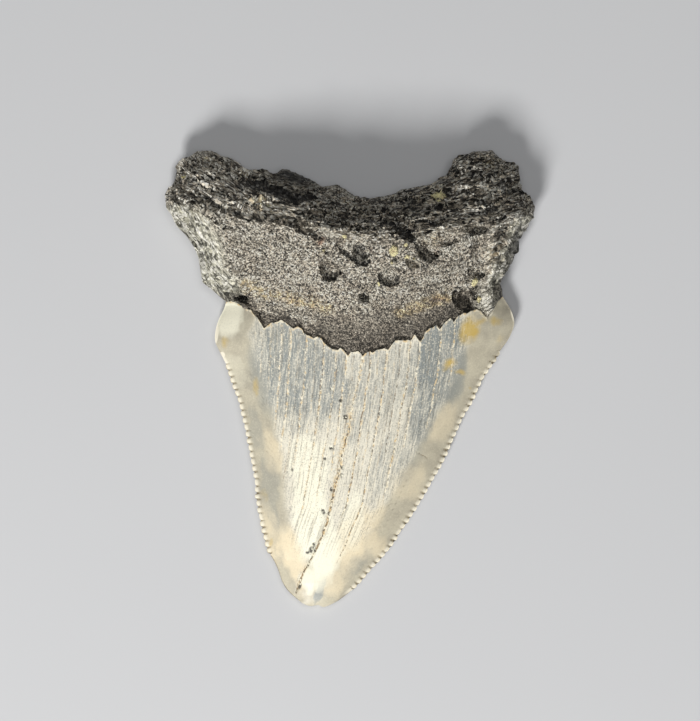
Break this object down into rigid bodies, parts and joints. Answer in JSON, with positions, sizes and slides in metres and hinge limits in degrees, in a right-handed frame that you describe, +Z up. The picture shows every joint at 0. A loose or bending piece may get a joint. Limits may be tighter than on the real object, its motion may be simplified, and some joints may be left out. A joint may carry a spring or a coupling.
{
  "type": "megalodon tooth",
  "caption": "Fossil megalodon tooth with a rough, pitted, lobed root and a serrated enamel crown, lying on its flat side.",
  "frame": {"origin": "middle of the bounding box in plan, on the surface that the tooth lies on", "axes": "+Y from the crown's tip towards the root, +Z up out of the lingual face, +X to the right seen from above"},
  "size_m": [0.0406, 0.0502, 0.0107],
  "materials": {
    "fossil": "mineralised tooth: pale grey, blue-grey and cream enamel with a low sheen, and a dark grey-brown, dull, granular root"
  },
  "bodies": {
    "root": {"tooth": "fossil"}
  },
  "joints": []
}
